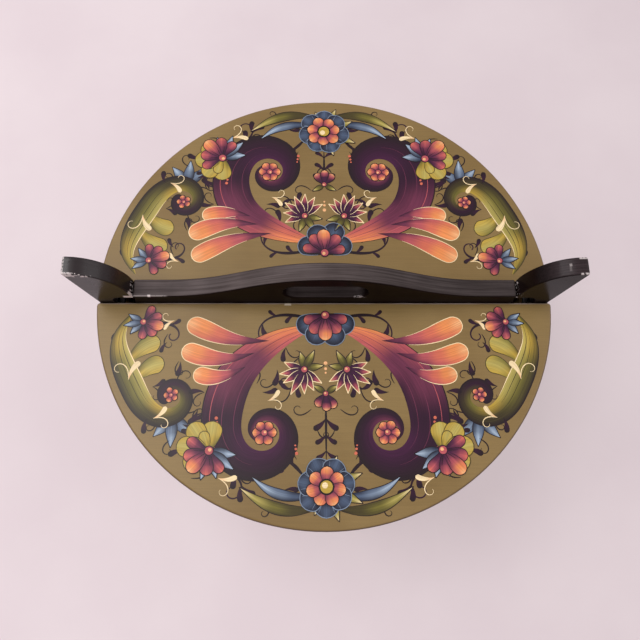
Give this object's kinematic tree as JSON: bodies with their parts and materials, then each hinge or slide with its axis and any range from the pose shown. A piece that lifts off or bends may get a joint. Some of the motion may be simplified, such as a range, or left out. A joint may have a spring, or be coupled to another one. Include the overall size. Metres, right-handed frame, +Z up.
{
  "type": "tine box",
  "caption": "Round bentwood tine box whose decorated two-leaf lid, with an arched handle board and finger slot, snaps in between two springy end posts.",
  "frame": {"origin": "on the floor under the middle of the box", "axes": "+X along the handle board to the right, +Y to the rear leaf, +Z up out of the lid"},
  "size_m": [0.3436, 0.33, 0.204],
  "materials": {
    "lid_paint": "olive oil paint with scroll and flower decoration under semi-gloss varnish",
    "olive_paint": "plain olive oil paint, satin",
    "dark_paint": "charcoal green paint, satin, worn at the edges",
    "bare_wood": "bare pine, planed",
    "peg_wood": "birch, end grain",
    "root": "split root, worn smooth"
  },
  "bodies": {
    "box": {"base_board": "bare_wood", "side_band": "olive_paint", "lap_lacing": "root", "base_pegs": "peg_wood"},
    "lid": {"lid_front_leaf": "lid_paint", "lid_rear_leaf": "lid_paint", "handle_board": "dark_paint", "leaf_dowels": "peg_wood", "left_cleat": "bare_wood", "right_cleat": "bare_wood", "cleat_pegs": "peg_wood"},
    "left_post": {"left_post": "dark_paint", "left_foot_peg": "peg_wood"},
    "right_post": {"right_post": "dark_paint", "right_foot_peg": "peg_wood"}
  },
  "joints": [
    {"name": "lid_lift", "type": "slide", "parent": "box", "child": "lid", "axis": [0, 0, 1], "range_m": [0, 0.07]},
    {"name": "left_post_spring", "type": "hinge", "parent": "box", "child": "left_post", "pos_m": [-0.152, 0, 0.002], "axis": [0, -1, 0], "range_deg": [0, 4.4]},
    {"name": "right_post_spring", "type": "hinge", "parent": "box", "child": "right_post", "pos_m": [0.152, 0, 0.002], "axis": [0, 1, 0], "range_deg": [0, 4.4]}
  ],
  "couplings": [
    {"joint": "left_post_spring", "follows": "lid_lift", "rad_per_m": 1.0877},
    {"joint": "right_post_spring", "follows": "lid_lift", "rad_per_m": 1.0877}
  ]
}
